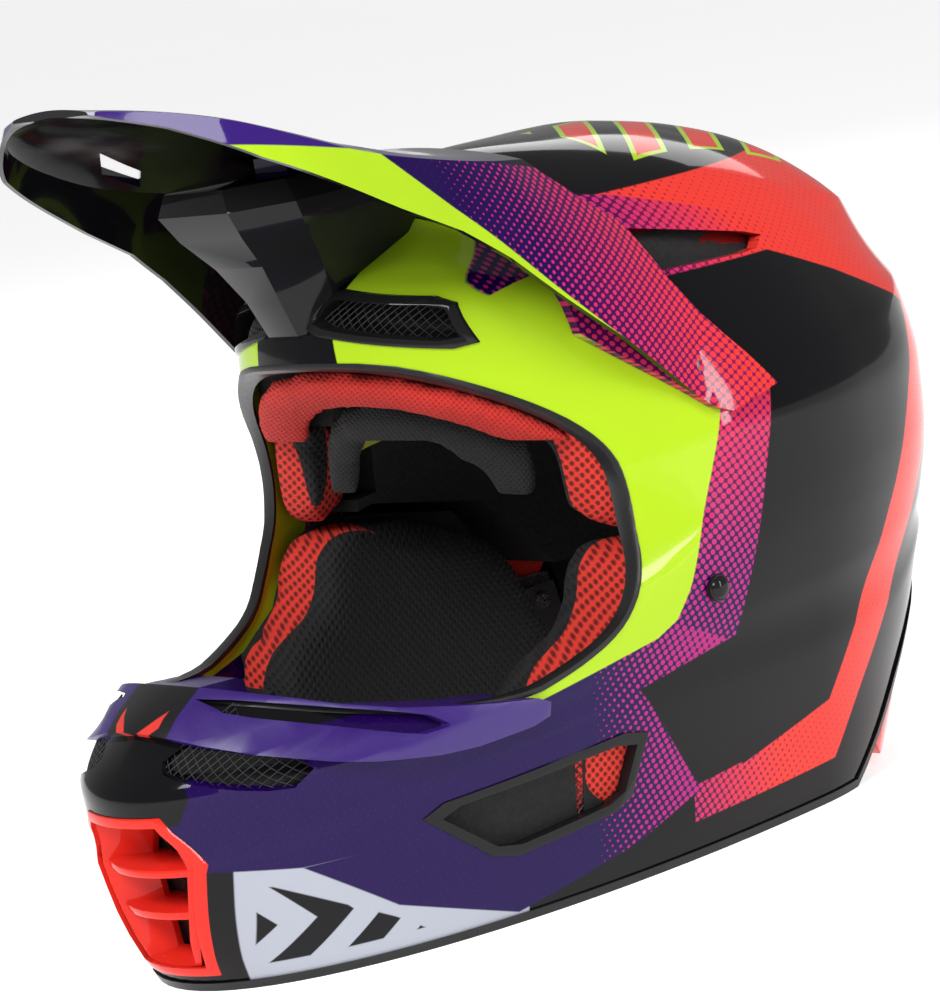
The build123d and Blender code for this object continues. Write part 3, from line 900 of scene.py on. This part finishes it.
def make_vents():
    bezel = patch("brow_vent_frames", -1.0, 9, ring_of(BROW_VENT, "Y", -160, -50, 0.2, -2.4), pair=True)
    place(soften(bezel, 35, 0.4), "shell", "gloss_black", GLOSS, "brow_vent_bezels")
    place(lattice("brow_vent_grilles", BROW_VENT, "front", 4.0), "shell", "black_mesh", MESH,
          "brow_vent_meshes")
    bezel = patch("chin_vent_frames", -0.8, 8, ring_of(CHIN_VENT, "X", 50, 130, 0.2, -3.5), pair=True)
    place(soften(bezel, 35, 0.5), "shell", "gloss_black", GLOSS, "chin_vent_bezels")
    place(lattice("chin_vent_grilles", CHIN_VENT, "side", 5.0), "shell", "black_mesh", MESH,
          "chin_vent_meshes")
    slot = patch("crown_slots", 5.5, 7.5, prism(grown(SIDE_SLOT, 2.0), "X", 50, 130), pair=True)
    place(soften(slot, 35), "shell", "red_plastic", SLOT_RED, "crown_slot_inserts")
    place(lattice("chin_top_grilles", TOP_VENT, "front", 2.5), "shell", "black_mesh", MESH,
          "chin_top_meshes")
    ring = ring_of(REAR_WINDOW, "Y", 100, 190, 0.4, -7)
    place(soften(patch("rear_vent_frame", -4, 8, ring), 35, 0.6), "shell", "gloss_black", GLOSS,
          "rear_vent_housing")
    place(lattice("rear_grille", REAR_WINDOW, "rear", 4.0, 4.0, 1.0, pair=False), "shell", "black_mesh",
          MESH, "rear_vent_grille")


def funnel(name, outer, inner, front, back):
    """Hollow ring that narrows from one front outline to another, between two distances."""
    rows = []
    for outline, y in ((outer, front), (inner, back), (inner, back + 2.5), (outer, front + 4.5)):
        rows.append([to_frame(a, y, b) for a, b in outline])
    count = len(outer)
    verts = [point for row in rows for point in row]
    faces = []
    for r in range(4):
        for c in range(count):
            d = (c + 1) % count
            s = (r + 1) % 4
            faces.append((r * count + c, r * count + d, s * count + d, s * count + c))
    obj = new_object(name, verts, faces)
    fix_normals(obj)
    return obj


def make_rear_lip():
    """Red moulded lip that hangs below the raised rear rim."""
    outline = [(54, 12), (66, 3), (100, 5), (110, 22), (113, 54), (96, 45), (62, 17)]
    lip = patch("rear_lips", 1, 10, prism(outline, "X", 40, 120), pair=True)
    place(soften(lip, 30, 0.8), "shell", "red_plastic", RED_GLOSS, "rear_lip")


def make_mouth():
    ring = prism(grown(MOUTH, 0.5), "Y", -270, -190)
    cut(ring, prism(grown(MOUTH, -3.0), "Y", -275, -185))
    rim = patch("mouth_surround", -0.8, 26, ring)
    wall = funnel("mouth_walls", grown(MOUTH, -2.5), MOUTH_SLOT, -231, -215)
    limited(wall, egg_object("outside", 1.0))
    joined(rim, wall)
    place(soften(rim, 35, 0.5), "shell", "red_plastic", RED_GLOSS, "mouth_frame")
    bars = box_tool((-40, -240, 44.5), (40, -205, 47.5))
    joined(bars, box_tool((-40, -240, 28.5), (40, -205, 31.5)))
    ribs = patch("mouth_bars", 3, 24, prism(grown(MOUTH, -2.8), "Y", -260, -190))
    limited(ribs, bars)
    place(soften(ribs, 35, 0.5), "shell", "red_plastic", RED_GLOSS, "mouth_ribs")
    grille = lattice("mouth_grille", MOUTH_SLOT, "front", 24.0, 3.2, 0.9, pair=False)
    place(grille, "shell", "black_mesh", MESH, "mouth_mesh")


def make_guard():
    outline = [(-116, 80.5), (-140, 84.5), (-170, 91), (-208, 108), (-222, 112), (-230, 100),
               (-212, 86), (-185, 76), (-150, 70), (-116, 72)]
    guard = patch("nose_roll", -5.0, 24, prism(rounded(outline, 1, 0.2), "X", -120, 120))
    slots = side_pair([(-206, 103), (-205, 97), (-163, 80), (-152, 80.5), (-158, 86)], 18, 100)
    cut(guard, *slots)
    place(soften(guard, 35, 0.8), "shell", "purple_rubber", GUARD, "nose_guard")


def make_screws():
    """Domed screw heads with a fine step round them."""
    middle_y, middle_z, sides = -39, 99, 32
    bm = bmesh.new()
    for sign in (1, -1):
        x = float(surface_side(middle_y, middle_z, 0)) + 0.5
        rings = [(5.0, -1.5), (5.0, 0.6), (4.6, 1.0), (4.2, 1.0), (3.9, 1.7), (2.8, 2.6), (1.4, 3.0)]
        rows = []
        for radius, out in rings:
            row = []
            for k in range(sides):
                t = 2 * math.pi * k / sides
                point = to_frame(sign * (x + out), middle_y + radius * math.cos(t),
                                 middle_z + radius * math.sin(t))
                row.append(bm.verts.new(point))
            rows.append(row)
        for a, b in zip(rows, rows[1:]):
            for k in range(sides):
                following = (k + 1) % sides
                bm.faces.new((a[k], a[following], b[following], b[k]))
        bm.faces.new(rows[-1])
        bm.faces.new(list(reversed(rows[0])))
    bmesh.ops.recalc_face_normals(bm, faces=bm.faces)
    obj = new_object("side_screw_heads", [], [])
    bm.to_mesh(obj.data)
    bm.free()
    place(soften(obj, 40), "shell", "black_plastic", GLOSS, "side_screws")


# ------------------------------------------------------------------------------ visor
# distance, half width, edge height, ridge height, shoulder inset, shoulder height
ARCHES = np.array([
    (10, 121, 126, 265.5, 55, 240), (-28, 117.5, 150, 266, 45, 250), (-53, 113, 180, 268, 40, 259),
    (-80, 104, 208, 271, 24, 263), (-100, 98.5, 232, 275, 17, 267), (-134, 91, 254.5, 287, 10, 276),
    (-158, 85, 270, 296, 8, 286), (-176, 75, 282, 302, 7, 295), (-192, 50, 296, 306, 5, 303),
    (-204, 24, 304, 309, 3, 307)], float)
VISOR_SIDE = [(-230, 325), (-200, 303), (-192, 297.5), (-176, 283), (-134, 256.5), (-112, 244),
              (-96, 231), (-60, 195), (-30, 163), (-24, 160), (-2, 165), (-14, 186), (-26, 209),
              (-33, 232), (-46, 243), (-62, 262), (-70, 340), (-230, 340)]
VISOR_LEG = [(-62, 197), (-30, 163), (-24, 160), (-2, 165), (-14, 186), (-26, 209), (-33, 231),
             (-60, 234)]
PEAK_HOLES = [[(46, -152), (66, -138), (74, -116), (56, -128)],
              [(-46, -152), (-56, -128), (-74, -116), (-66, -138)]]


def arch_object(name, wall):
    """Solid arch of the visor, drawn in by a wall."""
    table = ARCHES[::-1]
    rows = []
    for y in np.linspace(table[0, 0], table[-1, 0], 90):
        half, edge, ridge, inset, shoulder = (smooth(y, table[:, 0], table[:, k]) for k in range(1, 6))
        x1, z1 = half - inset - wall, shoulder - wall
        rear_bow = float(np.clip((y + 110) / 100, 0, 1)) * 9
        points = [(half - wall, edge - 90), (half - wall, edge)]
        for t in np.linspace(0.1, 1, 10):
            bow = math.sin(math.pi * t) * rear_bow
            points.append((half - wall + (x1 - half + wall) * t + bow, edge + (z1 - edge) * t + bow))
        for t in np.linspace(0.08, 1, 13):
            x = x1 * (1 - t)
            lift = (ridge - wall - z1) * math.sin(t * math.pi / 2) ** 0.8
            points.append((x, z1 + lift))
        left = [(-x, z) for x, z in reversed(points[:-1])]
        rows.append([to_frame(x, float(y), z) for x, z in points + left])
    obj = grid_object(name, rows)
    fix_normals(obj)
    return obj


def make_visor():
    visor = arch_object("peak", 0)
    limited(visor, prism(VISOR_SIDE, "X", -PASS, PASS))
    cut(visor, arch_object("inner", VISOR_WALL), egg_object("inner", -0.5))
    cut(visor, *[prism(hole, "Z", 200, 330) for hole in PEAK_HOLES])
    legs = patch("legs", -4.2, -0.6, prism(VISOR_LEG, "X", -PASS, PASS),
                 [box_tool((-55, -200, 100), (55, 100, 300))])
    # boss under the roof, which the middle magnet sits in
    boss = box_tool((-9, -113, 270.2), (9, -97, 275.5))
    joined(visor, boss)
    joined(visor, legs)
    merge_doubles(visor)
    mark_underside(visor)
    soften(visor, 30)
    place(visor, "visor", "visor_plastic", VISOR_PAINT, "visor")


def mark_underside(obj):
    """Attribute that is 1 on the faces that look down or inwards."""
    mesh = obj.data
    mark = mesh.attributes.new("underside", "FLOAT", "FACE")
    values = []
    for face in mesh.polygons:
        centre = face.center
        middle = Vector((0, centre.y, min(centre.z, 0.20)))
        values.append(1.0 if face.normal.dot(centre - middle) < 0 else 0.0)
    mark.data.foreach_set("value", values)


def make_duct():
    """Faceted black block between brow and visor."""
    rows = []
    stations = [(212, 15, -122, -90), (226, 17, -128, -80), (240, 24, -136, -75), (252, 32, -146, -70),
                (262, 36, -152, -66), (270, 30, -150, -70)]
    for z, half, front, back in stations:
        rows.append([to_frame(x, y, z) for x, y in ((-half, back), (-half, front + 18),
                    (-half * 0.55, front), (half * 0.55, front), (half, front + 18), (half, back))])
    duct = grid_object("brow_bridge", rows)
    fix_normals(duct)
    cut(duct, egg_object("inner", 0.5))
    limited(duct, arch_object("inner", VISOR_WALL + 0.6))
    place(soften(duct, 20, 1.0), "shell", "gloss_black", GLOSS, "brow_duct")


# ------------------------------------------------------------------------------ pads
def puff(obj, cap, pressure=4.0, voxel=5.0):
    """Cloth simulation that crowns a pad, with each point held within cap millimetres."""
    remesh = obj.modifiers.new("remesh", "REMESH")
    remesh.mode = "VOXEL"
    remesh.voxel_size = voxel * MM
    baked(obj)
    start = np.array([v.co[:] for v in obj.data.vertices])
    cloth = obj.modifiers.new("cloth", "CLOTH")
    cloth.settings.use_pressure = True
    cloth.settings.uniform_pressure_force = pressure
    cloth.settings.effector_weights.gravity = 0
    cloth.settings.quality = 4
    cloth.point_cache.frame_start = 1
    cloth.point_cache.frame_end = 12
    for number in range(1, 13):
        bpy.context.scene.frame_set(number)
    graph = bpy.context.evaluated_depsgraph_get()
    moved = np.array([v.co[:] for v in obj.evaluated_get(graph).data.vertices])
    obj.modifiers.clear()
    move = moved - start
    size = np.linalg.norm(move, axis=1, keepdims=True)
    move *= np.minimum(1, cap * MM / np.maximum(size, 1e-9))
    start = start + move
    bpy.context.scene.frame_set(1)
    for vertex, point in zip(obj.data.vertices, start):
        vertex.co = point
    smoothing = obj.modifiers.new("smooth", "SMOOTH")
    smoothing.factor, smoothing.iterations = 0.5, 3
    subdivision = obj.modifiers.new("subdivision", "SUBSURF")
    subdivision.levels = 1
    baked(obj)
    for face in obj.data.polygons:
        face.use_smooth = True


CHEEK = [(-108, 14), (-110, 80), (-83, 92), (-72, 106), (-66, 121), (-36, 121), (22, 106), (38, 72),
         (34, 18)]
TEMPLE = [(-67, 124), (-66, 158), (-74, 168), (-50, 168), (-34, 150), (-36, 126)]


def make_pads():
    for side, sign in (("left", 1), ("right", -1)):
        pad = patch(f"cheek_cushion_{side}", 7, 44, prism(rounded(CHEEK, 2), "X", 20, 160), styled=False)
        flip(pad, sign)
        puff(pad, 3.0)
        place(pad, f"cheek_{side}", "red_fabric", CHEEK_FABRIC, f"cheek_pad_{side}")
        temple = patch(f"temple_cushion_{side}", 7, 27, prism(rounded(TEMPLE, 2), "X", 20, 160),
                       styled=False)
        flip(temple, sign)
        puff(temple, 2.5)
        place(temple, "shell", "red_fabric", CHEEK_FABRIC, f"temple_pad_{side}")
    ring = port_prism(0.5)
    cut(ring, port_prism(-6.5))
    limited(ring, box_tool((-PASS, -140, 162), (PASS, -40, 215)))
    brow = patch("brow_cushion", 7, 27, ring, styled=False)
    puff(brow, 1.5, voxel=3.0)
    place(brow, "shell", "red_fabric", RED_KNIT, "brow_pad")
    zone = box_tool((-PASS, -200, 152), (PASS, 200, 300))
    cut(zone, port_prism(17))
    crown = patch("crown_cushion", 40, 47, zone, styled=False)
    lip = port_prism(4)
    cut(lip, port_prism(-9))
    limited(lip, box_tool((-PASS, -150, 140), (PASS, -30, 215)))
    joined(crown, patch("lining_lip", 34, 46, lip, styled=False))
    puff(crown, 1.5)
    place(crown, "liner", "black_fabric", BLACK_KNIT, "crown_comfort_pad")
    roll = patch("neck_cushion", 8, 37, prism(rounded([(76, 40), (97, 57), (130, 74), (150, 79),
                 (150, 92), (76, 60)], 1), "X", -150, 150), styled=False)
    puff(roll, 2.5)
    place(roll, "shell", "black_fabric", BLACK_KNIT, "neck_roll")


def flip(obj, sign):
    """Mirror a left piece to the right side where the sign is negative."""
    if sign < 0:
        with edited(obj) as bm:
            for v in bm.verts:
                v.co.x = -v.co.x
            bmesh.ops.reverse_faces(bm, faces=bm.faces)


# ------------------------------------------------------------------------------ carried-over nodes
KEPT = {
    "crown_energy_liner": EPS, "chin_energy_liner": EPS, "side_energy_liner_left": EPS,
    "side_energy_liner_right": EPS, "dust_filter": FILTER, "slip_liner": SLIP, "slip_anchors": RUBBER,
    "snap_sockets_left": BLACK_PLASTIC, "snap_sockets_right": BLACK_PLASTIC,
    "cheek_plate_left": BLACK_PLASTIC, "cheek_plate_right": BLACK_PLASTIC,
    "visor_magnets": STEEL, "shell_magnets": STEEL, "strap_anchor_plates": STEEL,
    "strap_rivets": STEEL, "d_ring_lower": STEEL, "d_ring_upper": STEEL, "strap_snap_button": STEEL,
    "chin_strap_short": WEB, "chin_strap_long": WEB, "strap_sleeves": BLACK_KNIT,
}


def paint_kept_nodes():
    for name, material in KEPT.items():
        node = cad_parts[name]
        if len(node.material_slots) == 0:
            node.data.materials.append(material)
        for place_of in node.material_slots:
            place_of.material = material


make_shell()
make_trims()
make_vents()
make_mouth()
make_rear_lip()
make_guard()
make_screws()
make_visor()
make_duct()
make_pads()
paint_kept_nodes()
